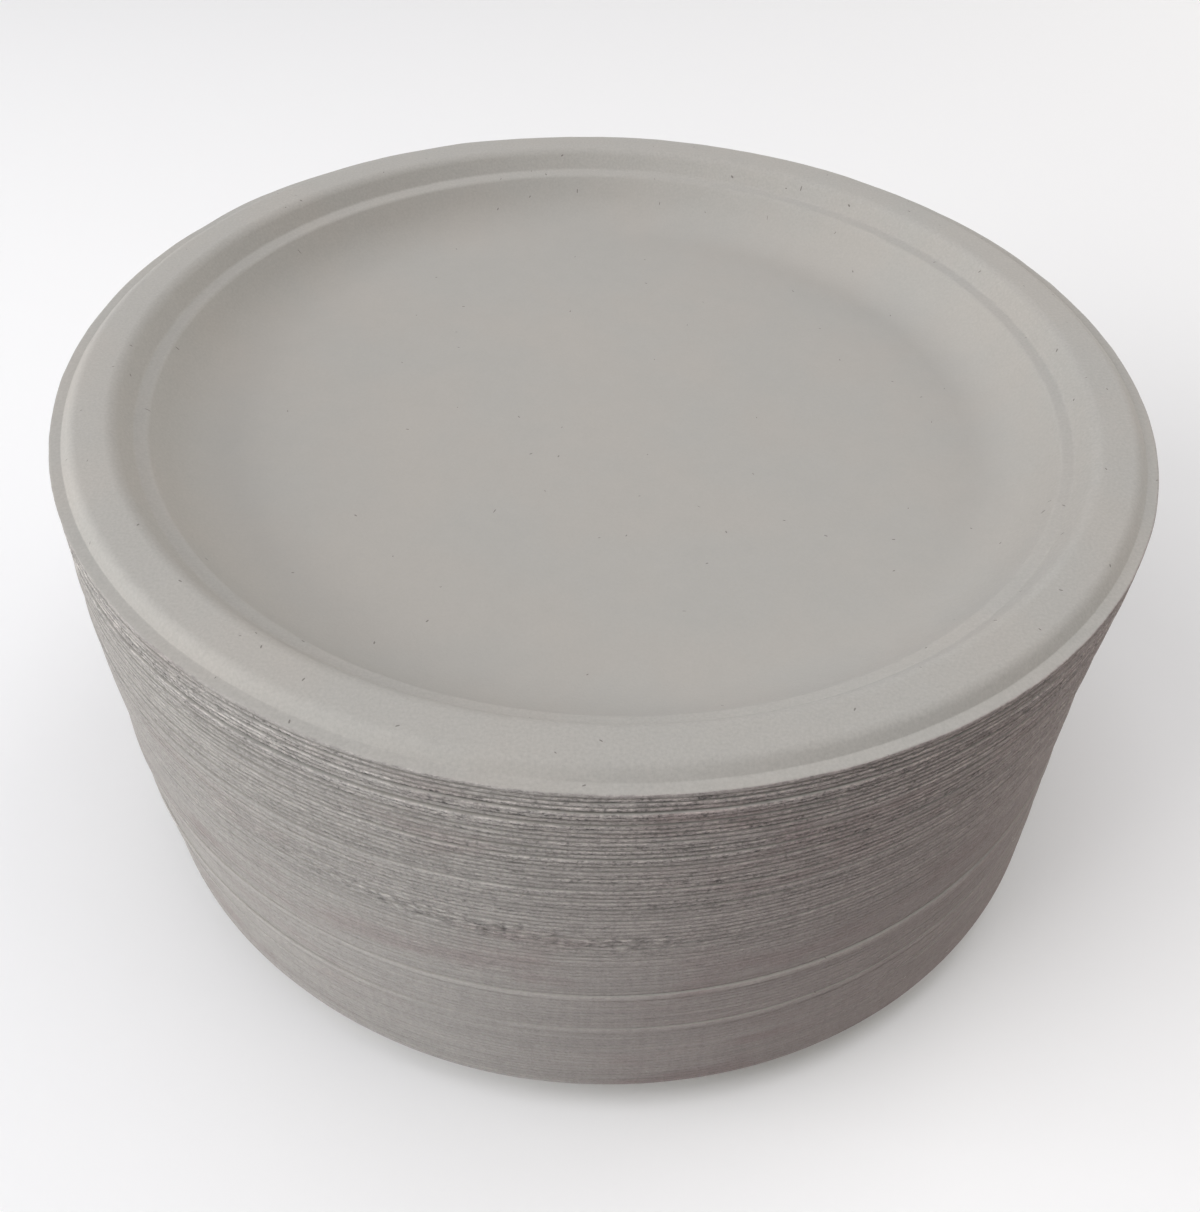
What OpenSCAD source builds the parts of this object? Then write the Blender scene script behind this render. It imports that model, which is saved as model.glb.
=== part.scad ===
// A tall stack of round plates, moulded from fibre pulp and nested rim in rim.
// Plates are numbered from the top of the stack down. The stack stands on z = 0.

/* [Stack] */
// Number of plates in the stack
plate_count = 85; // [62:1:110]
// Free height between two nested plates where their walls are steepest
seat_gap = 0.25; // [0.2:0.01:0.5]
// Free height left between the trimmed edges of two nested lips
lip_gap = 0.2; // [0.15:0.01:0.4]

/* [Plate] */
// Diameter over the lip
plate_d = 260; // [230:1:300]
// Thickness of the moulded board
board_t = 0.62; // [0.5:0.01:0.9]

/* [Rim] */
// Width of the narrow flat lip round the outside
lip_w = 2.7; // [1.5:0.1:6]
// Radius on the two corners of the lip's trimmed edge
edge_round = 0.2; // [0.1:0.05:0.3]
// Width of the slope that climbs from the lip to the rim
outer_slope_w = 2.4; // [1.5:0.1:6]
// Height of the flat rim above the lip
outer_slope_h = 2.3; // [1:0.1:3]
// Width of the flat rim
rim_w = 8.8; // [5:0.1:16]
// Height of the steep step inside the rim, which centres one plate in the next
step_h = 5; // [3:0.1:8]
// Slope of that step
step_slope = 55; // [45:1:62]

/* [Well] */
// Width of the shallow ledge below the step
ledge_w = 3; // [2:0.1:6]
// Slope of the ledge
ledge_slope = 12; // [6:1:24]
// Height of the wall from the base up to the ledge
wall_h = 11.3; // [8:0.1:20]
// Slope of the wall at its steepest, just below the ledge
wall_slope = 54; // [35:1:58]

/* [Bends] */
// Radius where the base turns up into the wall
base_bend_r = 19.5; // [6:0.5:24]
// Radius where the wall turns into the ledge
ledge_bend_r = 1.5; // [1:0.1:4]
// Radius in the corner between ledge and step
step_foot_r = 1.5; // [1:0.1:3]
// Radius over the inner edge of the rim
rim_inner_r = 3.5; // [1:0.1:5]
// Radius over the outer edge of the rim
rim_outer_r = 3; // [1:0.1:4]
// Radius in the corner between outer slope and lip
lip_foot_r = 0.8; // [0.5:0.1:2]

/* [Hidden] */
pulp_colour = [0.83, 0.81, 0.78];

// How far each plate sits aside in the one below it, as a share of its play,
// at equal stations from the bottom of the stack to the top
aside = [-0.3, -0.5, -0.65, 0.1, -0.4, 0.2, 0.35, 0.1];

// Largest turn, in degrees, between two neighbouring faces of a bend
bend_facet = 14;
edge_facets = 2;
round_fn = 180;

// One plate's rise over the next: the board's height on its steepest slope, and the gap
steepest = max(step_slope, wall_slope);
pitch = board_t / cos(steepest) + seat_gap;
// Sideways play of one plate in the next
play = seat_gap / tan(steepest);
// The lip swells towards its trimmed edge, until the edges of two plates almost meet
edge_t = pitch - lip_gap;

// Corners of the board's middle surface, from the lip inwards
slope_foot_r = plate_d / 2 - lip_w;
rim_out_r = slope_foot_r - outer_slope_w;
rim_in_r = rim_out_r - rim_w;
ledge_out_r = rim_in_r - step_h / tan(step_slope);
ledge_in_r = ledge_out_r - ledge_w;
base_r = ledge_in_r - wall_h / tan(wall_slope);

base_z = board_t / 2;
ledge_in_z = base_z + wall_h;
ledge_out_z = ledge_in_z + ledge_w * tan(ledge_slope);
rim_z = ledge_out_z + step_h;
lip_z = rim_z - outer_slope_h;
lip_top = lip_z + board_t / 2;

// Each corner: radius from the axis, height, radius of the bend there, and the largest
// share of the straight board beside it that the bend may take up
CORNERS = [
    [0, base_z, 0, 0],
    [base_r, base_z, base_bend_r, 0.75],
    [ledge_in_r, ledge_in_z, ledge_bend_r, 0.22],
    [ledge_out_r, ledge_out_z, step_foot_r, 0.48],
    [rim_in_r, rim_z, rim_inner_r, 0.48],
    [rim_out_r, rim_z, rim_outer_r, 0.48],
    [slope_foot_r, lip_z, lip_foot_r, 0.48],
    [plate_d / 2, lip_z, 0, 0],
];

// Plates up to half the nodes' limit stand alone; past it, two neighbours share a node
most_nodes = 60;
pair_count = max(0, ceil(plate_count - most_nodes));
last_single = plate_count - 2 * pair_count - 1;
GROUPS = concat(
    [for (i = [1 : last_single]) [i, i]],
    [for (k = [0 : 1 : pair_count - 1]) [last_single + 1 + 2 * k, last_single + 2 + 2 * k]],
    [[plate_count, plate_count]]
);

function two_digits(n) = str(n < 10 ? "0" : "", n);

function group_name(g) =
    g[0] == 1 ? "top_plate" :
    g[0] == plate_count ? "bottom_plate" :
    g[0] == g[1] ? str("plate_", two_digits(g[0])) :
    str("plates_", two_digits(g[0]), "_", two_digits(g[1]));

function heading(a, b) = atan2(b[1] - a[1], b[0] - a[0]);

function span(a, b) = norm([b[0] - a[0], b[1] - a[1]]);

// Points round one bend, each as radius, height and heading. A bend that is too
// large for the board beside it is limited by that board.
function bend(before, corner, after) =
    let (
        h_in = heading(before, corner),
        turn = heading(corner, after) - h_in,
        room = corner[3] * min(span(before, corner), span(corner, after)),
        r = min(corner[2], room / tan(abs(turn) / 2)),
        reach = r * tan(abs(turn) / 2),
        side = sign(turn),
        start = [corner[0] - reach * cos(h_in), corner[1] - reach * sin(h_in)],
        centre = start + side * r * [-sin(h_in), cos(h_in)],
        facets = ceil(abs(turn) / bend_facet)
    )
    [for (k = [0 : facets])
        let (h = h_in + turn * k / facets)
        [centre[0] + side * r * sin(h), centre[1] - side * r * cos(h), h]];

last = len(CORNERS) - 1;
MIDDLE = concat(
    [[0, base_z, 0]],
    [for (i = [1 : last - 1]) each bend(CORNERS[i - 1], CORNERS[i], CORNERS[i + 1])]
);

// The middle surface moved square to itself by d
function face(d) = [for (p = MIDDLE) [p[0] - d * sin(p[2]), p[1] + d * cos(p[2])]];

// One rounded corner of the trimmed edge, through a quarter turn down from angle a
function edge_corner(z, a) = [for (k = [0 : edge_facets])
    let (turned = a - 90 * k / edge_facets)
    [plate_d / 2 - edge_round + edge_round * cos(turned), z + edge_round * sin(turned)]];

trimmed_edge = concat(
    edge_corner(lip_top - edge_round, 90),
    edge_corner(lip_top - edge_t + edge_round, 0)
);

function backwards(list) = [for (i = [len(list) - 1 : -1 : 0]) list[i]];

// Places of the plates' axes along x, from the bottom plate up
function aside_share(k) =
    lookup(k / (plate_count - 1) * (len(aside) - 1), [for (s = [0 : len(aside) - 1]) [s, aside[s]]]);

function drift(k) = k == 0 ? 0 : drift(k - 1) + play * aside_share(k);

DRIFTS = [for (k = [0 : plate_count - 1]) drift(k)];
drift_mid = (max(DRIFTS) + min(DRIFTS)) / 2;

module plate_section()
    polygon(concat(face(board_t / 2), trimmed_edge, backwards(face(-board_t / 2))));

module plate()
    color(pulp_colour)
        rotate_extrude($fn = round_fn)
            plate_section();

module plates(first, final)
    for (i = [first : final])
        let (k = plate_count - i)
            translate([DRIFTS[k] - drift_mid, 0, k * pitch])
                plate();

for (g = GROUPS)
    plates(g[0], g[1]);
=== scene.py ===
# %% [markdown]
# A tall stack of round plates, moulded from fibre pulp.
# Every plate has the same form: a flat base, a curved wall, a narrow ledge, a steep step, a flat
# rim and a thin flat lip with a trimmed edge. Nested rim in rim, the lips pile up into a wall of
# fine lines, and that wall is half of what the eye sees. This lesson dresses the stack in that order:
# the camera, one plain plate, the same plate repeated with a rule that makes each one a little
# different, the loose fibres on the cut edges, the pulp itself, and the light.

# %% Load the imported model
import math

import bmesh
import bpy
from mathutils import Euler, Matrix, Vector


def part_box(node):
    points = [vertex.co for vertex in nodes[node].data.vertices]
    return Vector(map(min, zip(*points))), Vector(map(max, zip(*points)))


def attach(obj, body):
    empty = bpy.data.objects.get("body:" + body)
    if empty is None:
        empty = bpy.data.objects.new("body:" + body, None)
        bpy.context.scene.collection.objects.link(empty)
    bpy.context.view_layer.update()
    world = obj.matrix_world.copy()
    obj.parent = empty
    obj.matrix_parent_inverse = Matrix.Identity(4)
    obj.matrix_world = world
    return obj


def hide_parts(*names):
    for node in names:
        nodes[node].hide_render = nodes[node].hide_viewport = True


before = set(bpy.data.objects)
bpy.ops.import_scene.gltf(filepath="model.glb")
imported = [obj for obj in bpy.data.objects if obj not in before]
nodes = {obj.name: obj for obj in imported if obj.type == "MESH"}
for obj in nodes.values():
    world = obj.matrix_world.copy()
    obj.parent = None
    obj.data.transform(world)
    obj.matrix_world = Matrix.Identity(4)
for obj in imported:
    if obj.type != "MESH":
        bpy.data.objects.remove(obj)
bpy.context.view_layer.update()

# %% [markdown]
# The stack is read from the frame before anything is drawn. A node holds one plate or two
# neighbours, and its box gives the height of the lower and the upper one and how far aside they
# sit. Plates are numbered from the top of the stack down.

# %% Find each plate's place
MM = 0.001
PLATE_COUNT = max(int(name.split("_")[-1]) for name in nodes if name[-1].isdigit()) + 1
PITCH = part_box("top_plate")[0].z / (PLATE_COUNT - 1)


def plates_in(node):
    """Each plate of a node, upper one first: (number, side shift, height of its base)."""
    low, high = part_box(node)
    side = (low.x + high.x) / 2
    if node == "top_plate":
        return [(1, side, low.z)]
    if node == "bottom_plate":
        return [(PLATE_COUNT, side, low.z)]
    numbers = [int(part) for part in node.split("_")[1:]]
    bases = [low.z + PITCH, low.z]
    return [(n, side, z) for n, z in zip(numbers, bases[-len(numbers):])]


plates = {name: plates_in(name) for name in nodes}
top_shift, top_base = plates["top_plate"][0][1:]
print(PLATE_COUNT, "plates, one every", round(PITCH / MM, 3), "mm")

# %% [markdown]
# The camera comes early, because everything after it is judged through it. It stands close over
# the near edge and looks down at 45 degrees, so the far rim is small and the wall of lips narrows
# towards the table. Its place is measured from the middle of the top plate's lip.

# %% Camera
LIP_H = 15.26 * MM
LENS = 36.51
SENSOR_WIDTH = 36
NEAREST_SEEN = 10 * MM
CAMERA_OUT = Vector((0.65, -256.5, 170.2)) * MM
LOOK_DOWN = math.radians(44.66)
ROLL = math.radians(2.55)


def make_camera():
    lens = bpy.data.cameras.new("camera")
    lens.lens = LENS
    lens.sensor_width = SENSOR_WIDTH
    lens.clip_start = NEAREST_SEEN
    camera = bpy.data.objects.new("camera", lens)
    camera.location = Vector((top_shift, 0, top_base + LIP_H)) + CAMERA_OUT
    turn = Euler((math.pi / 2 - LOOK_DOWN, 0, 0)).to_matrix()
    roll = Euler((0, 0, ROLL)).to_matrix()
    camera.rotation_euler = (turn @ roll).to_euler()
    bpy.context.scene.collection.objects.link(camera)
    bpy.context.scene.camera = camera
    return camera


camera = make_camera()
print("camera at", [round(v, 4) for v in camera.location])

# %% [markdown]
# A plate is a turned form: one outline swept round an axis. The board is thin and even, so the
# outline comes from its middle line alone, a handful of corners with a bend at each, which is then
# moved up and down by half the board. The lip is the exception: at the trimmed edge the fibres
# swell until the lips of two nested plates almost touch.

# %% The board's middle line
BOARD = 0.62 * MM
LIP_R = 130 * MM
EDGE_T = 1.13 * MM
EDGE_ROUND = 0.2 * MM
EDGE_FLAT = 0.3 * MM
# Radius from the axis, height over the table under the plate, and radius of the bend there
CORNERS = [
    (0, 0.31, 0),
    (101.39, 0.31, 19.5),
    (109.6, 11.61, 1.5),
    (112.6, 12.25, 1.5),
    (116.1, 17.25, 3.5),
    (124.9, 17.25, 3),
    (127.3, 14.95, 0.8),
    (130, 14.95, 0),
]


def bend(before, corner, after, step):
    """Points round one bend, each with the board's slope there. step is the turn per face."""
    slope = math.atan2(corner[1] - before[1], corner[0] - before[0])
    turn = math.atan2(after[1] - corner[1], after[0] - corner[0]) - slope
    reach = corner[2] * math.tan(abs(turn) / 2)
    side = math.copysign(corner[2], turn)
    x = corner[0] - reach * math.cos(slope) - side * math.sin(slope)
    y = corner[1] - reach * math.sin(slope) + side * math.cos(slope)
    faces = math.ceil(abs(turn) / step)
    angles = [slope + turn * k / faces for k in range(faces + 1)]
    return [(x + side * math.sin(a), y - side * math.cos(a), a) for a in angles]


def middle_line(step):
    """The board from the axis to the lip's foot, with bends cut into faces of about step."""
    line = [(0, CORNERS[0][1], 0)]
    for before, corner, after in zip(CORNERS, CORNERS[1:], CORNERS[2:]):
        line += bend(before, corner, after, step)
    return line


def board_face(line, side):
    """One face of the board: the middle line moved square to itself by half the board."""
    d = side * BOARD / 2
    return [(r * MM - d * math.sin(a), z * MM + d * math.cos(a)) for r, z, a in line]


# %% [markdown]
# The outline becomes a mesh of rings. The lip is where every detail sits, so its rings are fine,
# and the well, which is hidden in all plates but one, gets a sixth of that. One row of fan
# triangles joins the two, so the plate stays a closed shell without a seam. Three blanks share the
# outline: a fine one for the top plate, a medium one for the bottom plate, whose underside can be
# seen, and a plain one for all the others, where every ring counts 83 times.

# %% Turn the outline into a plate
def ring_points(r, z, count):
    turn = 2 * math.pi / count
    return [(r * math.cos(k * turn), r * math.sin(k * turn), z) for k in range(count)]


def join_rings(outer, inner, flip):
    """Faces between two rings of vertex numbers, the outer with a whole multiple of the inner's."""
    faces = []
    share = len(outer) // len(inner)
    for k, here in enumerate(inner):
        arc = [outer[(k * share + j) % len(outer)] for j in range(share + 1)]
        after = inner[(k + 1) % len(inner)]
        if share == 1:
            faces.append((arc[0], arc[1], after, here))
            continue
        half = share // 2
        faces += [(arc[j], arc[j + 1], here) for j in range(half)]
        faces.append((arc[half], after, here))
        faces += [(arc[j], arc[j + 1], after) for j in range(half, share)]
    return [face[::-1] for face in faces] if flip else faces


def swollen_edge(lip_top):
    """The lip's trimmed edge, from its upper face round to its lower one."""
    lip_low = lip_top - EDGE_T
    bends = [0, math.pi / 4, math.pi / 2]
    flat_r = LIP_R - EDGE_ROUND - EDGE_FLAT
    over = [(1 - math.sin(a), 1 - math.cos(a)) for a in bends[::-1]]
    edge = [(flat_r, lip_top)]
    edge += [(LIP_R - EDGE_ROUND * out, lip_top - EDGE_ROUND * down) for down, out in over]
    edge += [(LIP_R - EDGE_ROUND * out, lip_low + EDGE_ROUND * up) for out, up in over]
    edge.append((flat_r, lip_low))
    return edge


def blank_plate(name, step, lip_count, well_count, lip_from):
    """A plain plate at the origin: rings down the upper face to the pole, then back under it."""
    line = middle_line(step)
    upper = board_face(line, 1)
    lower = board_face(line, -1)
    outline = upper[1:] + swollen_edge(upper[-1][1]) + lower[:0:-1]
    under_from = len(outline) - len(lower) + 1
    points = []
    under = []
    rings = []
    for k, (r, z) in enumerate(outline):
        count = lip_count if r > lip_from else well_count
        rings.append(list(range(len(points), len(points) + count)))
        points += ring_points(r, z, count)
        under += [float(k >= under_from)] * count
    faces = []
    for a, b in zip(rings, rings[1:]):
        faces += join_rings(a, b, True) if len(a) >= len(b) else join_rings(b, a, False)
    for ring, z, flip in ((rings[0], upper[0][1], False), (rings[-1], lower[0][1], True)):
        fan = [(ring[k], ring[(k + 1) % len(ring)], len(points)) for k in range(len(ring))]
        faces += [face[::-1] for face in fan] if flip else fan
        points.append((0, 0, z))
        under.append(float(flip))
    mesh = bpy.data.meshes.new(name)
    mesh.from_pydata(points, [], faces)
    mesh.attributes.new("under", "FLOAT", "POINT").data.foreach_set("value", under)
    return mesh


def triangles(mesh):
    return sum(len(face.vertices) - 2 for face in mesh.polygons)


# Turn for each face of a bend, faces round the lip and round the well, and where the lip's begin
BLANKS = {
    "fine_blank": (math.radians(6), 480, 240, 123 * MM),
    "under_blank": (math.radians(12), 360, 120, 128 * MM),
    "plain_blank": (math.radians(24), 360, 60, 128 * MM),
}
blanks = {name: blank_plate(name, *sizes) for name, sizes in BLANKS.items()}
for name, blank in blanks.items():
    print(name, "has", triangles(blank), "triangles")

# %% [markdown]
# Two kinds of node tree follow: materials and geometry. Both are long chains of small sums, so a few
# helpers keep them readable. Each takes the tree first and gives back the socket with the result.

# %% Helpers for node trees
def put(tree, kind, *inputs, named=None, **settings):
    """A new node, with its settings and inputs. A socket is linked and a plain value is set."""
    made = tree.nodes.new(kind)
    for key, value in settings.items():
        setattr(made, key, value)
    for key, value in list(enumerate(inputs)) + list((named or {}).items()):
        if isinstance(value, bpy.types.NodeSocket):
            tree.links.new(value, made.inputs[key])
        else:
            made.inputs[key].default_value = value
    return made


def calc(tree, operation, *values):
    return put(tree, "ShaderNodeMath", *values, operation=operation).outputs[0]


def vector(tree, operation, *values):
    made = put(tree, "ShaderNodeVectorMath", *values, operation=operation)
    return made.outputs["Value" if operation in ("LENGTH", "DOT_PRODUCT", "DISTANCE") else "Vector"]


def scaled(tree, value, factor):
    named = {"Vector": value, "Scale": factor}
    return put(tree, "ShaderNodeVectorMath", named=named, operation="SCALE").outputs[0]


def ramp(tree, value, low, high, to_low=0.0, to_high=1.0, kind="SMOOTHSTEP"):
    """Maps low..high to to_low..to_high, and holds the ends."""
    made = put(tree, "ShaderNodeMapRange", value, low, high, to_low, to_high, interpolation_type=kind)
    return made.outputs[0]


def noise(tree, place, scale, detail=2.0, roughness=0.5):
    """Cloudy noise round zero, mostly between -1 and 1."""
    named = {"Vector": place, "Scale": scale, "Detail": detail, "Roughness": roughness}
    cloud = put(tree, "ShaderNodeTexNoise", named=named).outputs[0]
    return ramp(tree, cloud, 0.25, 0.75, -1.0, 1.0, "LINEAR")


# %% [markdown]
# Moulded pulp is a felt of short fibres. The pressed faces are smooth and matt, with faint clouds
# where the pulp settled thicker, a fine grain that shows most on the rim, and a few dark specks of
# bark or pith. All patterns read Object coordinates, in metres, so a scale of 1000 means features
# of about a millimetre. Specks come from Voronoi cells: one short fibre to a cell, turned at random.

# %% Colours and small marks
PULP = (0.411, 0.398, 0.371, 1)
PULP_WARM = (0.417, 0.397, 0.366, 1)
CUT = (0.351, 0.332, 0.314, 1)
CUT_BROWN = (0.288, 0.241, 0.231, 1)
FLECK = (0.09, 0.078, 0.07, 1)


def mix_colour(tree, factor, a, b, blend="MIX"):
    made = put(tree, "ShaderNodeMix", data_type="RGBA", blend_type=blend)
    for socket, value in zip((made.inputs["Factor"], made.inputs[6], made.inputs[7]), (factor, a, b)):
        if isinstance(value, bpy.types.NodeSocket):
            tree.links.new(value, socket)
        else:
            socket.default_value = value
    return made.outputs[2]


def lightened(tree, colour, light):
    """A colour multiplied by a grey."""
    grey = put(tree, "ShaderNodeCombineXYZ", light, light, light).outputs[0]
    return vector(tree, "MULTIPLY", colour, grey)


def flecks(tree, place, scale, radius, stretch, share):
    """Short dark fibres: one to a Voronoi cell, turned at random, and left out of most cells."""
    cell = put(tree, "ShaderNodeTexVoronoi", voronoi_dimensions="2D",
               named={"Vector": place, "Scale": scale})
    luck = put(tree, "ShaderNodeSeparateColor", cell.outputs["Color"])
    away = vector(tree, "SUBTRACT", place, cell.outputs["Position"])
    away = vector(tree, "MULTIPLY", away, (1.0, 1.0, 0.0))
    turn = calc(tree, "MULTIPLY", luck.outputs[0], math.pi)
    turned = put(tree, "ShaderNodeVectorRotate", rotation_type="Z_AXIS",
                 named={"Vector": away, "Angle": turn}).outputs[0]
    reach = vector(tree, "LENGTH", vector(tree, "MULTIPLY", turned, (1 / stretch, 1.0, 1.0)))
    size = ramp(tree, luck.outputs[1], 0.0, 1.0, 0.5 * radius, radius, "LINEAR")
    inside = calc(tree, "LESS_THAN", reach, size)
    kept = calc(tree, "LESS_THAN", luck.outputs[2], share)
    return calc(tree, "MULTIPLY", inside, kept)


# %% The pressed faces
RIM_FROM = 95 * MM
RIM_FULL = 116 * MM
# Scale, detail and roughness of each pattern on the pressed faces
FACE_PATTERNS = {
    "cloud": (32.0, 3.0, 0.5),
    "blotch": (190.0, 3.0, 0.5),
    "felt": (1500.0, 3.0, 0.65),
}
CLOUD_LIGHT = 0.012
BLOTCH_LIGHT = 0.012
# Strength or share in the well, and what the rim adds
FELT_LIGHT = (0.024, 0.065)
SPECK_SHARE = (0.10, 0.22)
# Cells per metre, half width and stretch of the short specks and the longer dark hairs
SPECK = (120.0, 0.18 * MM, 2.6)
DARK_HAIR = (55.0, 0.13 * MM, 6.0)
DARK_HAIR_SHARE = 0.05
SPECK_DARK = 0.62


def face_colour(tree, place, parts):
    """The colour of the pressed faces, with clouds, grain, specks and longer dark hairs."""
    on_rim = ramp(tree, parts["radius"], RIM_FROM, RIM_FULL)
    face = mix_colour(tree, ramp(tree, parts["cloud"], -0.6, 0.7), PULP, PULP_WARM)
    light = calc(tree, "MULTIPLY_ADD", parts["cloud"], CLOUD_LIGHT, 1.0)
    light = calc(tree, "MULTIPLY_ADD", parts["blotch"], BLOTCH_LIGHT, light)
    felt_light = calc(tree, "MULTIPLY_ADD", on_rim, FELT_LIGHT[1], FELT_LIGHT[0])
    light = calc(tree, "MULTIPLY_ADD", parts["felt"], felt_light, light)
    share = calc(tree, "MULTIPLY_ADD", on_rim, SPECK_SHARE[1], SPECK_SHARE[0])
    specks = flecks(tree, place, *SPECK, share)
    hairs = flecks(tree, place, *DARK_HAIR, DARK_HAIR_SHARE)
    dark = calc(tree, "MULTIPLY", calc(tree, "MAXIMUM", specks, hairs), SPECK_DARK)
    return mix_colour(tree, dark, lightened(tree, face, light), FLECK)


# %% [markdown]
# The trimmed edge is another surface: torn fibre ends, a bit darker, rough, and streaked along the
# cut, with a painted highlight on the upper corner and painted shade of the gap on the lower one.
# Both are broken into dashes, and they fade on the plates that are pressed tight. Towards the near
# right the edge is painted browner and darker, as shade. A pattern that is finer in height than along
# the edge gives streaks. Attributes of the mesh tell the material where it is: cut and across on the
# edge, under on the lower face, and torn, tone_and_highlight and loose for the plate.

# %% The trimmed edge
# Scale along x, y and z, detail and roughness of each pattern on the trimmed edge
EDGE_PATTERNS = {
    "streak": ((90.0, 90.0, 1500.0), 4.0, 0.7),
    "band": ((9.0, 9.0, 150.0), 3.0, 0.6),
    "grain": ((1300.0, 1300.0, 1800.0), 3.0, 0.7),
    "patch": ((22.0, 22.0, 60.0), 3.0, 0.6),
    "dashes": ((230.0, 230.0, 760.0), 3.0, 0.7),
    "shreds": ((430.0, 430.0, 900.0), 4.0, 0.65),
    "pits": ((900.0, 900.0, 1100.0), 3.0, 0.6),
    "combed": ((700.0, 700.0, 75.0), 2.0, 0.5),
}
EDGE_LIGHT = {"streak": 0.08, "band": 0.09, "tone_and_highlight": 0.09, "combed": 0.05}
# Strength on a tight edge, and what a loose one adds
GRAIN_LIGHT = (0.17, 0.38)
PAINTED_CORNER_STRENGTH = (0.06, 0.76)
PIT_DARK = (0.06, 0.42)
# Painted highlight on the upper corner of each edge, and painted shade of the gap along its lower corner
PAINTED_HIGHLIGHT_CORNER = 0.75
PAINTED_GAP_SHADE = -1.0
SHRED_LIGHT = 0.75
DARKEST = 0.12
BROWN_PATCHES = 0.6
# How far painted shade turns the edge browner and darker towards the near right
PAINTED_SIDE_SHADE = 0.8


def by_loose(tree, parts, strength):
    return calc(tree, "MULTIPLY_ADD", parts["loose"], strength[1], strength[0])


def painted_corner_lines(tree, parts):
    """Painted highlight on the upper corner of the edge and painted shade of the gap on the lower one,
    both broken into dashes.
    """
    across = parts["across"]
    dashes = parts["dashes"]
    painted_highlight = calc(tree, "MULTIPLY", ramp(tree, across, 0.1, 0.7), ramp(tree, dashes, -0.35, 0.4))
    painted_gap_shade = calc(tree, "MULTIPLY", ramp(tree, across, -0.1, -0.7), ramp(tree, dashes, 0.4, -0.2))
    return calc(tree, "MULTIPLY_ADD", painted_highlight, PAINTED_HIGHLIGHT_CORNER, calc(tree, "MULTIPLY", painted_gap_shade, PAINTED_GAP_SHADE))


def edge_colour(tree, parts):
    """The colour of the trimmed edge: browner in patches, and browner and darker towards the near right as
    painted shade.
    """
    # Painted shade: towards the near right, which the light leaves dark, the edge is mixed to the darker
    # brown
    side = calc(tree, "SUBTRACT", parts["x"], calc(tree, "MULTIPLY", parts["y"], 0.8))
    brown_and_shade = calc(tree, "MULTIPLY", ramp(tree, parts["patch"], 0.0, 0.9), BROWN_PATCHES)
    brown_and_shade = calc(tree, "MULTIPLY_ADD", ramp(tree, side, 60 * MM, 170 * MM), PAINTED_SIDE_SHADE, brown_and_shade)
    edge = mix_colour(tree, brown_and_shade, CUT, CUT_BROWN)
    shade = 1.0
    for name, strength in EDGE_LIGHT.items():
        shade = calc(tree, "MULTIPLY_ADD", parts[name], strength, shade)
    shade = calc(tree, "MULTIPLY_ADD", parts["grain"], by_loose(tree, parts, GRAIN_LIGHT), shade)
    shade = calc(tree, "MULTIPLY_ADD", painted_corner_lines(tree, parts), by_loose(tree, parts, PAINTED_CORNER_STRENGTH), shade)
    shade = calc(tree, "MULTIPLY_ADD", parts["torn shreds"], SHRED_LIGHT, shade)
    pits = calc(tree, "MULTIPLY", ramp(tree, parts["pits"], 0.05, 0.6), by_loose(tree, parts, PIT_DARK))
    shade = calc(tree, "MAXIMUM", calc(tree, "SUBTRACT", shade, pits), DARKEST)
    return lightened(tree, edge, shade)


# %% [markdown]
# Relief comes from the same patterns, so light and shade agree with the colour. The pressed faces
# are nearly flat, the cut edge is rough, and the underside keeps a trace of the wire mesh that the
# pulp was drained on: two sets of waves that cross.

# %% Relief, and the finished pulp
WIRE_PITCH = 1.1 * MM
WIRE_HIGH = 0.8
BLOTCH_HIGH = 0.35
FELT_HIGH = 0.18
CUT_HIGH = 1.6
SHRED_HIGH = 3.0
RELIEF = 0.06 * MM
PULP_SHEEN = {"Roughness": 0.92, "Specular IOR Level": 0.22, "Sheen Weight": 0.08, "Sheen Roughness": 0.6}


def relief(tree, parts):
    waves = [calc(tree, "SINE", calc(tree, "MULTIPLY", parts[axis], 2 * math.pi / WIRE_PITCH))
             for axis in "xy"]
    wires = calc(tree, "MULTIPLY", calc(tree, "MAXIMUM", *waves),
                 calc(tree, "MULTIPLY", parts["under"], WIRE_HIGH))
    smooth_side = calc(tree, "MULTIPLY_ADD", parts["blotch"], BLOTCH_HIGH,
                       calc(tree, "MULTIPLY", parts["felt"], FELT_HIGH))
    rough_side = calc(tree, "MULTIPLY_ADD", parts["streak"], CUT_HIGH,
                      calc(tree, "MULTIPLY", parts["grain"], CUT_HIGH))
    rough_side = calc(tree, "MULTIPLY_ADD", parts["torn shreds"], SHRED_HIGH, rough_side)
    smooth_side = calc(tree, "ADD", smooth_side, wires)
    height = put(tree, "ShaderNodeMix", parts["cut"], named={2: smooth_side, 3: rough_side}).outputs[0]
    bump = put(tree, "ShaderNodeBump", named={"Height": height, "Distance": RELIEF, "Strength": 1.0})
    return bump.outputs[0]


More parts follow.
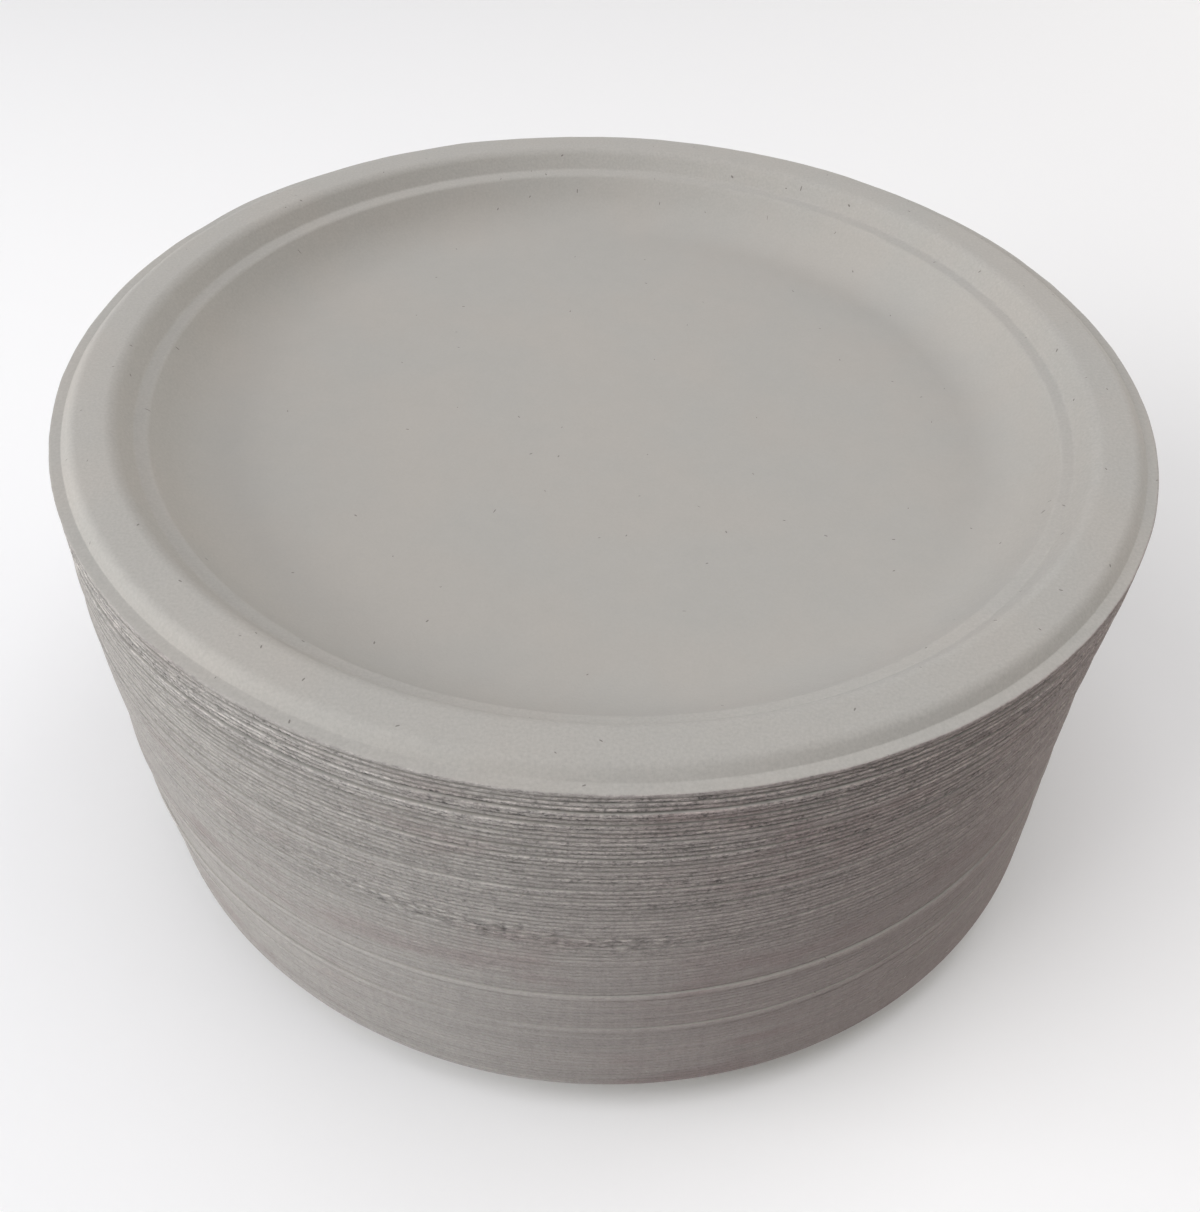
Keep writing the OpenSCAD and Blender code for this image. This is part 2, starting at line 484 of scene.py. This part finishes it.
def pulp_material():
    material = bpy.data.materials.new("moulded_pulp")
    material.use_nodes = True
    tree = material.node_tree
    shader = tree.nodes["Principled BSDF"]
    place = put(tree, "ShaderNodeTexCoord").outputs["Object"]
    parts = {name: put(tree, "ShaderNodeAttribute", attribute_name=name).outputs["Fac"]
             for name in ("cut", "under", "tone_and_highlight", "across", "torn", "loose")}
    parts["x"], parts["y"] = put(tree, "ShaderNodeSeparateXYZ", place).outputs[:2]
    parts["radius"] = vector(tree, "LENGTH", vector(tree, "MULTIPLY", place, (1.0, 1.0, 0.0)))
    for name, sizes in FACE_PATTERNS.items():
        parts[name] = noise(tree, place, *sizes)
    for name, (scale, detail, roughness) in EDGE_PATTERNS.items():
        parts[name] = noise(tree, vector(tree, "MULTIPLY", place, scale), 1.0, detail, roughness)
    parts["torn shreds"] = calc(tree, "MULTIPLY", parts["shreds"], parts["torn"])
    colour = mix_colour(tree, parts["cut"], face_colour(tree, place, parts), edge_colour(tree, parts))
    tree.links.new(colour, shader.inputs["Base Color"])
    tree.links.new(relief(tree, parts), shader.inputs["Normal"])
    for name, value in PULP_SHEEN.items():
        shader.inputs[name].default_value = value
    return material


pulp = pulp_material()
print("the pulp has", len(pulp.node_tree.nodes), "nodes")

# %% [markdown]
# Eighty-five identical plates would look like a drawing. Real lips wave a little: a slow wave that
# the whole pile shares, because each plate is pressed into the next, and a small quick one of its
# own, which opens and closes the dark gap between two edges. Geometry Nodes suit this, because
# one tree holds the rule and each plate only has its own number. The numbers feed the noise, so the
# result is the same in each run.

# %% Helpers for the rule
FLOAT = "NodeSocketFloat"


def new_group(name, sockets):
    """A Geometry Nodes tree with a geometry in and out, and named inputs."""
    tree = bpy.data.node_groups.new(name, "GeometryNodeTree")
    tree.interface.new_socket("Geometry", in_out="INPUT", socket_type="NodeSocketGeometry")
    for label, kind in sockets:
        tree.interface.new_socket(label, in_out="INPUT", socket_type=kind)
    tree.interface.new_socket("Geometry", in_out="OUTPUT", socket_type="NodeSocketGeometry")
    return tree, tree.nodes.new("NodeGroupInput").outputs, tree.nodes.new("NodeGroupOutput").inputs


def finish_group(tree, geometry, material, result):
    """Smooth faces, real instances and the material, which every tree here ends with."""
    smooth = put(tree, "GeometryNodeSetShadeSmooth", geometry).outputs[0]
    whole = put(tree, "GeometryNodeRealizeInstances", smooth).outputs[0]
    dressed = put(tree, "GeometryNodeSetMaterial", whole, named={"Material": material}).outputs[0]
    tree.links.new(dressed, result[0])


def run_group(name, mesh, tree, values):
    """The tree's result on a mesh, as a plain mesh."""
    source = bpy.data.objects.new(name + "_source", mesh)
    bpy.context.scene.collection.objects.link(source)
    modifier = source.modifiers.new("rule", "NODES")
    modifier.node_group = tree
    keys = {item.name: item.identifier for item in tree.interface.items_tree if item.in_out == "INPUT"}
    for label, value in values.items():
        modifier[keys[label]] = value
    graph = bpy.context.evaluated_depsgraph_get()
    plain = bpy.data.meshes.new_from_object(source.evaluated_get(graph))
    plain.name = name
    bpy.data.objects.remove(source)
    return plain


def round_noise(tree, where, around, along, detail=2.0):
    """Noise that closes on itself round a plate: around sets its ripples, along its change from one
    plate to the next."""
    step = calc(tree, "MULTIPLY", where["number"], along)
    step = put(tree, "ShaderNodeCombineXYZ", 0.0, 0.0, step).outputs[0]
    return noise(tree, vector(tree, "ADD", scaled(tree, where["out"], around), step), 1.0, detail)


# %% [markdown]
# The rule has three parts. The first lifts and lowers the lip: the slow wave, the quick one, and an
# edge that swells on tight plates and shrinks on loose ones. It fades out towards the rim, so the
# wells keep their exact form. The second moves the edge in and out: plates were trimmed a bit
# unevenly, a few stand proud along a part of their round, and one stretch was scuffed until the
# fibres tore. The third stores what the material has to know.

# %% The lip and its edge
WAVE_FROM = 120 * MM
EDGE_FROM = 128 * MM
TORN_HALF = math.radians(19)
TORN_CORE = 0.3
TORN_DEPTH = 0.45 * MM


def lip_rise(tree, own, where):
    """How far the lip lies over its plain place."""
    on_lip = ramp(tree, where["radius"], WAVE_FROM, LIP_R)
    rise = calc(tree, "MULTIPLY", round_noise(tree, where, 1.3, 0.06), own["Shared wave"])
    rise = calc(tree, "MULTIPLY_ADD", round_noise(tree, where, 7.0, 3.7), own["Own wave"], rise)
    rise = calc(tree, "MULTIPLY", rise, on_lip)
    upper = ramp(tree, where["z"], LIP_H - EDGE_T, LIP_H, -1.0, 1.0)
    swell = calc(tree, "MULTIPLY", calc(tree, "MULTIPLY", upper, own["Swell"]), where["on edge"])
    return calc(tree, "ADD", rise, swell)


def proud_part(tree, own, where):
    """How far the plate stands proud, which differs along its round."""
    here = ramp(tree, round_noise(tree, where, 1.6, 2.9), -0.8, 0.6, 0.15, 1.0)
    return calc(tree, "MULTIPLY", own["Edge set"], here)


def torn_part(tree, own, where):
    """1 where the edge is torn, fading out to both sides."""
    turn = calc(tree, "ARCTAN2", where["y"], where["x"])
    off_tear = calc(tree, "ABSOLUTE", calc(tree, "SUBTRACT", turn, own["Torn at"]))
    near_tear = ramp(tree, off_tear, TORN_CORE * TORN_HALF, TORN_HALF, 1.0, 0.0)
    return calc(tree, "MULTIPLY", near_tear, own["Torn"])


def edge_step(tree, own, where, proud, torn):
    """How far the edge lies outside its plain place."""
    wander = round_noise(tree, where, 6.0, 7.9, 4.0)
    step = calc(tree, "MULTIPLY_ADD", wander, own["Edge wander"], proud)
    ragged = calc(tree, "MULTIPLY", round_noise(tree, where, 48.0, 6.3, 3.0), TORN_DEPTH)
    step = calc(tree, "MULTIPLY_ADD", torn, ragged, step)
    return calc(tree, "MULTIPLY", step, where["on edge"])


# %% What the material has to know
PRESSED_SIDE = (30 * MM, -90 * MM)
PRESSED_PLATES = (5.0, 14.0)
PRESSED_SHARE = -0.55
TONE_AROUND = 0.7
TONE_PLATE = 0.3
# A painted highlight: a plate that stands proud is painted lighter, as if its edge caught the light from
# above
PROUD_PAINTED_HIGHLIGHT = 3 / MM


def plate_tone_and_highlight(tree, where, proud):
    """Light and dark plates: in part by luck, in part slow patches, and a painted highlight where one is
    proud.
    """
    luck = put(tree, "FunctionNodeRandomValue", data_type="FLOAT", named={2: -1.0, 3: 1.0})
    tree.links.new(where["number"], luck.inputs["ID"])
    tone_and_highlight = calc(tree, "MULTIPLY_ADD", round_noise(tree, where, 3.0, 5.3, 3.0), TONE_AROUND,
                calc(tree, "MULTIPLY", luck.outputs[1], TONE_PLATE))
    return calc(tree, "MULTIPLY_ADD", proud, PROUD_PAINTED_HIGHLIGHT, tone_and_highlight)


def plate_loose(tree, own, where):
    """How loose the edge looks: less on the left under the first plates, and never evenly."""
    shut = calc(tree, "MULTIPLY", ramp(tree, where["number"], *PRESSED_PLATES),
                ramp(tree, where["x"], *PRESSED_SIDE))
    loose = calc(tree, "MULTIPLY", own["Loose"], calc(tree, "MULTIPLY_ADD", shut, PRESSED_SHARE, 1.0))
    here = ramp(tree, round_noise(tree, where, 2.2, 4.3), -0.7, 0.6, 0.3, 1.2)
    return calc(tree, "MULTIPLY", loose, here)


def edge_marks(tree, own, where, proud, torn):
    """The attributes that the material reads, by name."""
    return {
        "cut": ramp(tree, where["radius"], LIP_R - 1.5 * EDGE_ROUND, LIP_R - 0.25 * EDGE_ROUND),
        "tone_and_highlight": plate_tone_and_highlight(tree, where, proud),
        "across": ramp(tree, where["z"], LIP_H - EDGE_T, LIP_H, -1.0, 1.0, "LINEAR"),
        "torn": torn,
        "loose": plate_loose(tree, own, where),
    }


# %% [markdown]
# The parts come together in one tree. The marks are stored before the plate is moved, because they
# are worked out from its plain form.

# %% The rule that makes each plate its own
PLATE_INPUTS = [
    ("Number", FLOAT), ("Side shift", FLOAT), ("Base height", FLOAT),
    ("Shared wave", FLOAT), ("Own wave", FLOAT), ("Edge wander", FLOAT),
    ("Edge set", FLOAT), ("Swell", FLOAT), ("Torn", FLOAT), ("Torn at", FLOAT), ("Loose", FLOAT),
    ("Pulp", "NodeSocketMaterial"),
]


def plate_rule():
    tree, own, result = new_group("nested_plate", PLATE_INPUTS)
    place = put(tree, "GeometryNodeInputPosition").outputs[0]
    x, y, z = put(tree, "ShaderNodeSeparateXYZ", place).outputs[:]
    flat = put(tree, "ShaderNodeCombineXYZ", x, y, 0.0).outputs[0]
    where = {"number": own["Number"], "x": x, "y": y, "z": z}
    where["out"] = vector(tree, "NORMALIZE", flat)
    where["radius"] = vector(tree, "LENGTH", flat)
    where["on edge"] = ramp(tree, where["radius"], EDGE_FROM, LIP_R - EDGE_ROUND)

    rise = calc(tree, "ADD", lip_rise(tree, own, where), own["Base height"])
    proud = proud_part(tree, own, where)
    torn = torn_part(tree, own, where)
    step_out = edge_step(tree, own, where, proud, torn)
    aside = put(tree, "ShaderNodeCombineXYZ", own["Side shift"], 0.0, rise).outputs[0]
    offset = vector(tree, "ADD", scaled(tree, where["out"], step_out), aside)

    marked = own["Geometry"]
    for name, value in edge_marks(tree, own, where, proud, torn).items():
        marked = put(tree, "GeometryNodeStoreNamedAttribute", marked,
                     named={"Name": name, "Value": value}).outputs[0]
    moved = put(tree, "GeometryNodeSetPosition", marked, named={"Offset": offset}).outputs[0]
    finish_group(tree, moved, own["Pulp"], result)
    return tree


nested_plate = plate_rule()
print("the rule has", len(nested_plate.nodes), "nodes")

# %% [markdown]
# The values are set here. The upper plates lie loosely, so their gaps wander most. Further down the
# weight of the pile presses the lips together, and the wall turns smooth, with only a soft line
# where one plate was trimmed a bit wider than its neighbours. Nearly half-way down, a slanting
# stretch of edges was scuffed until the fibres tore.

# %% The values of one plate
SHARED_WAVE = 0.45 * MM
OWN_WAVE = 0.17 * MM
EDGE_WANDER = 0.16 * MM
EDGE_SETS = 0.10 * MM
SET_RHYTHM = 2.4
PRESSED_SWELL = 0.09 * MM
LOOSE_SHRINK = 0.10 * MM
PRESSED_FROM = 0.6 * PLATE_COUNT
TOP_LOOSE = 0.35
TORN_PLATE = 36
TORN_SPREAD = 3.6
TORN_TURN = math.radians(-98)
TORN_SLANT = math.radians(5.0)
PROUD = {
    5: 0.45 * MM, 8: 0.36 * MM, 12: 0.18 * MM, 16: 0.32 * MM, 21: 0.12 * MM, 24: 0.32 * MM,
    27: 0.18 * MM, 40: 0.12 * MM, 51: 0.18 * MM, 54: 0.65 * MM, 65: 0.55 * MM, 72: 0.28 * MM,
}


def looseness(number):
    """1 at the top of the pile, and 0 from the first plate that is pressed tight."""
    return max(0.0, 1 - number / PRESSED_FROM) ** 0.8


def plate_values(number, side, base):
    loose = looseness(number)
    rhythm = EDGE_SETS * math.sin(SET_RHYTHM * number) * (0.4 + 0.6 * loose)
    return {
        "Number": float(number),
        "Side shift": side,
        "Base height": base,
        "Shared wave": SHARED_WAVE,
        "Own wave": OWN_WAVE * (0.25 + 0.75 * loose),
        "Edge wander": EDGE_WANDER * (0.35 + 0.65 * loose),
        "Edge set": PROUD.get(number, rhythm),
        "Swell": PRESSED_SWELL * (1 - loose) - LOOSE_SHRINK * loose,
        "Loose": TOP_LOOSE if number == 1 else loose,
        "Torn": math.exp(-(((number - TORN_PLATE) / TORN_SPREAD) ** 4)),
        "Torn at": TORN_TURN + TORN_SLANT * (number - TORN_PLATE),
        "Pulp": pulp,
    }


print("looseness of plates 1, 20 and 60:", [round(looseness(n), 2) for n in (1, 20, 60)])

# %% [markdown]
# A node holds one plate or two neighbours, and its piece holds the same. The rule runs once
# for each plate, and two plates are joined into one mesh as separate shells.

# %% Dress every node
OPEN_TO_VIEW = {"top_plate": blanks["fine_blank"], "bottom_plate": blanks["under_blank"]}


def dress(node):
    """One mesh for a node, of as many plates as it holds."""
    blank = OPEN_TO_VIEW.get(node, blanks["plain_blank"])
    meshes = [run_group(f"{node}_{number}", blank, nested_plate, plate_values(number, side, base))
              for number, side, base in plates[node]]
    mesh = meshes[0]
    if len(meshes) > 1:
        shell = bmesh.new()
        for part in meshes:
            shell.from_mesh(part)
        shell.to_mesh(mesh)
        shell.free()
    piece = bpy.data.objects.new(node + "_moulded", mesh)
    bpy.context.scene.collection.objects.link(piece)
    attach(piece, "root")
    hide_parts(node)
    return piece


pieces = [dress(node) for node in nodes]
print(len(pieces), "pieces,", sum(triangles(piece.data) for piece in pieces), "triangles")

# %% [markdown]
# Trimming leaves a few loose fibres on the edges, short pale hairs that lie along the wall. They are
# scattered on a thin guide wall through all the lips, which is thrown away afterwards: one bent
# hair, placed hundreds of times with a random turn and length.

# %% The rule for loose fibres
HAIR_INPUTS = [
    ("Per square metre", FLOAT), ("Length", FLOAT), ("Thickness", FLOAT),
    ("Seed", "NodeSocketInt"), ("Pulp", "NodeSocketMaterial"),
]
# The bow of a hair of length 1
HAIR_BOW = {"Start": (0, 0, 0), "Middle": (0.5, 0.25, 0.22), "End": (1, 0, 0.1)}
HAIR_PIECES = 4
HAIR_SIDES = 3
HAIR_TURN = 0.6
SHORTEST_HAIR = 0.35


def random_number(tree, low, high, seed):
    return put(tree, "FunctionNodeRandomValue", data_type="FLOAT",
               named={2: low, 3: high, "Seed": seed}).outputs[1]


def one_hair(tree, own):
    """A bent strand that starts at the origin and runs along x."""
    bow = put(tree, "GeometryNodeCurveQuadraticBezier", named={"Resolution": HAIR_PIECES, **HAIR_BOW})
    size = put(tree, "ShaderNodeCombineXYZ", own["Length"], own["Length"], own["Length"]).outputs[0]
    hair = put(tree, "GeometryNodeTransform", bow.outputs[0], named={"Scale": size}).outputs[0]
    radius = calc(tree, "MULTIPLY", own["Thickness"], 0.5)
    section = put(tree, "GeometryNodeCurvePrimitiveCircle",
                  named={"Resolution": HAIR_SIDES, "Radius": radius}).outputs[0]
    return put(tree, "GeometryNodeCurveToMesh", hair,
               named={"Profile Curve": section, "Fill Caps": True}).outputs[0]


def hair_rule():
    tree, own, result = new_group("loose_fibres", HAIR_INPUTS)
    spots = put(tree, "GeometryNodeDistributePointsOnFaces", own["Geometry"],
                named={"Density": own["Per square metre"], "Seed": own["Seed"]})
    turn = random_number(tree, -HAIR_TURN, HAIR_TURN, 5)
    flip = put(tree, "FunctionNodeRandomValue", data_type="INT", named={4: 0, 5: 1, "Seed": 6})
    angle = calc(tree, "MULTIPLY_ADD", flip.outputs[2], math.pi, turn)
    spin = put(tree, "ShaderNodeCombineXYZ", 0.0, 0.0, angle).outputs[0]
    spin = put(tree, "FunctionNodeEulerToRotation", spin).outputs[0]
    facing = put(tree, "FunctionNodeRotateRotation", spots.outputs["Rotation"], spin,
                 rotation_space="LOCAL").outputs[0]
    size = random_number(tree, SHORTEST_HAIR, 1.0, 7)
    placed = put(tree, "GeometryNodeInstanceOnPoints", spots.outputs[0],
                 named={"Instance": one_hair(tree, own), "Rotation": facing, "Scale": size}).outputs[0]
    finish_group(tree, placed, own["Pulp"], result)
    return tree


# %% Scatter them on a guide wall
GUIDE_FACES = 120
GUIDE_OUT = 0.05 * MM
HAIR_DARK = (0.50, 0.46, 0.42, 1)
HAIR_PALE = (0.70, 0.68, 0.65, 1)


def guide_wall():
    """A band through the middle of every lip's edge, from the bottom plate to the top."""
    points = []
    faces = []
    rows = sorted(place for node in nodes for place in plates[node])
    for k, (number, side, base) in enumerate(rows):
        height = base + LIP_H - EDGE_T / 2
        points += [(x + side, y, z) for x, y, z in ring_points(LIP_R + GUIDE_OUT, height, GUIDE_FACES)]
        if k > 0:
            low = range(k * GUIDE_FACES, (k + 1) * GUIDE_FACES)
            faces += join_rings(list(low), [v - GUIDE_FACES for v in low], False)
    wall = bpy.data.meshes.new("guide_wall")
    wall.from_pydata(points, [], faces)
    return wall


def fibre_material():
    material = bpy.data.materials.new("loose_fibre")
    material.use_nodes = True
    tree = material.node_tree
    shader = tree.nodes["Principled BSDF"]
    place = put(tree, "ShaderNodeTexCoord").outputs["Object"]
    shift = ramp(tree, noise(tree, place, 400.0), -1.0, 1.0)
    tree.links.new(mix_colour(tree, shift, HAIR_DARK, HAIR_PALE), shader.inputs["Base Color"])
    shader.inputs["Roughness"].default_value = 0.8
    shader.inputs["Specular IOR Level"].default_value = 0.3
    return material


hair_mesh = run_group("loose_fibres", guide_wall(), hair_rule(), {
    "Per square metre": 6000.0,
    "Length": 1.4 * MM,
    "Thickness": 0.07 * MM,
    "Seed": 3,
    "Pulp": fibre_material(),
})
fibres = bpy.data.objects.new("loose_fibres", hair_mesh)
bpy.context.scene.collection.objects.link(fibres)
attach(fibres, "root")
print("loose fibres:", triangles(hair_mesh), "triangles")

# %% [markdown]
# The floor is a plain white sheet that runs out of view. The light is a broad window on the left,
# most of it low, a bright wall behind on the right, a warm lamp low on the right and a cool ceiling,
# all large and soft. The right and the near side fall into soft shade, which brings out the wall of
# edges.

# %% The floor
FLOOR_R = 4.0
FLOOR_WHITE = (0.93, 0.93, 0.93, 1)
WALL_WHITE = (0.86, 0.86, 0.86, 1)


def make_floor():
    mesh = bpy.data.meshes.new("floor")
    rim = ring_points(FLOOR_R, 0.0, 96)
    mesh.from_pydata(rim, [], [tuple(range(len(rim)))])
    floor = bpy.data.objects.new("floor", mesh)
    bpy.context.scene.collection.objects.link(floor)
    material = bpy.data.materials.new("white_sheet")
    material.use_nodes = True
    shader = material.node_tree.nodes["Principled BSDF"]
    shader.inputs["Base Color"].default_value = FLOOR_WHITE
    shader.inputs["Roughness"].default_value = 0.9
    shader.inputs["Specular IOR Level"].default_value = 0.2
    mesh.materials.append(material)


def pale_room():
    """A world that the camera sees as a pale wall, and that lights nothing by itself."""
    world = bpy.data.worlds.new("pale_room")
    world.use_nodes = True
    tree = world.node_tree
    seen = put(tree, "ShaderNodeLightPath").outputs["Is Camera Ray"]
    wall = tree.nodes["Background"]
    wall.inputs["Color"].default_value = WALL_WHITE
    tree.links.new(seen, wall.inputs["Strength"])
    return world


make_floor()
bpy.context.scene.world = pale_room()
print("floor", 2 * FLOOR_R, "m across")

# %% The lights
LIGHT_SIZE = 1.6
LIGHT_AWAY = 2.0
LIGHT_CENTRE = Vector((0, 0, 0.1))
DAYLIGHT = (1.0, 0.995, 0.98)
SKY = (0.96, 0.96, 1.0)
WALL_GLOW = (1.0, 0.98, 0.96)
LAMP_GLOW = (1.0, 0.80, 0.55)
# Name, direction and height in degrees as seen from the stack, watts and colour
LIGHTS = [
    ("window", 202, 12, 31.0, DAYLIGHT),
    ("window_top", 202, 45, 14.1, SKY),
    ("window_far_end", 180, 12, 4.5, SKY),
    ("near_window_top", 225, 45, 5.8, DAYLIGHT),
    ("far_wall", 45, 12, 20.8, WALL_GLOW),
    ("right_top", 0, 45, 6.9, DAYLIGHT),
    ("right_low", 0, 12, 4.7, LAMP_GLOW),
    ("ceiling", 0, 88, 17.8, SKY),
]


def softbox(name, azimuth, height, watts, colour):
    """A large square light that faces the stack."""
    lamp = bpy.data.lights.new(name, "AREA")
    lamp.size = LIGHT_SIZE
    lamp.energy = watts
    lamp.color = colour
    holder = bpy.data.objects.new(name, lamp)
    turn = math.radians(azimuth)
    rise = math.radians(height)
    way = Vector((math.cos(rise) * math.cos(turn), math.cos(rise) * math.sin(turn), math.sin(rise)))
    holder.location = LIGHT_CENTRE + way * LIGHT_AWAY
    aim = Vector((0, 0, top_base)) - holder.location
    holder.rotation_euler = aim.to_track_quat("-Z", "Y").to_euler()
    holder.visible_camera = False
    bpy.context.scene.collection.objects.link(holder)


for row in LIGHTS:
    softbox(*row)
bpy.context.scene.view_settings.view_transform = "Standard"
print(len(LIGHTS), "lights,", round(sum(row[3] for row in LIGHTS), 1), "watts")
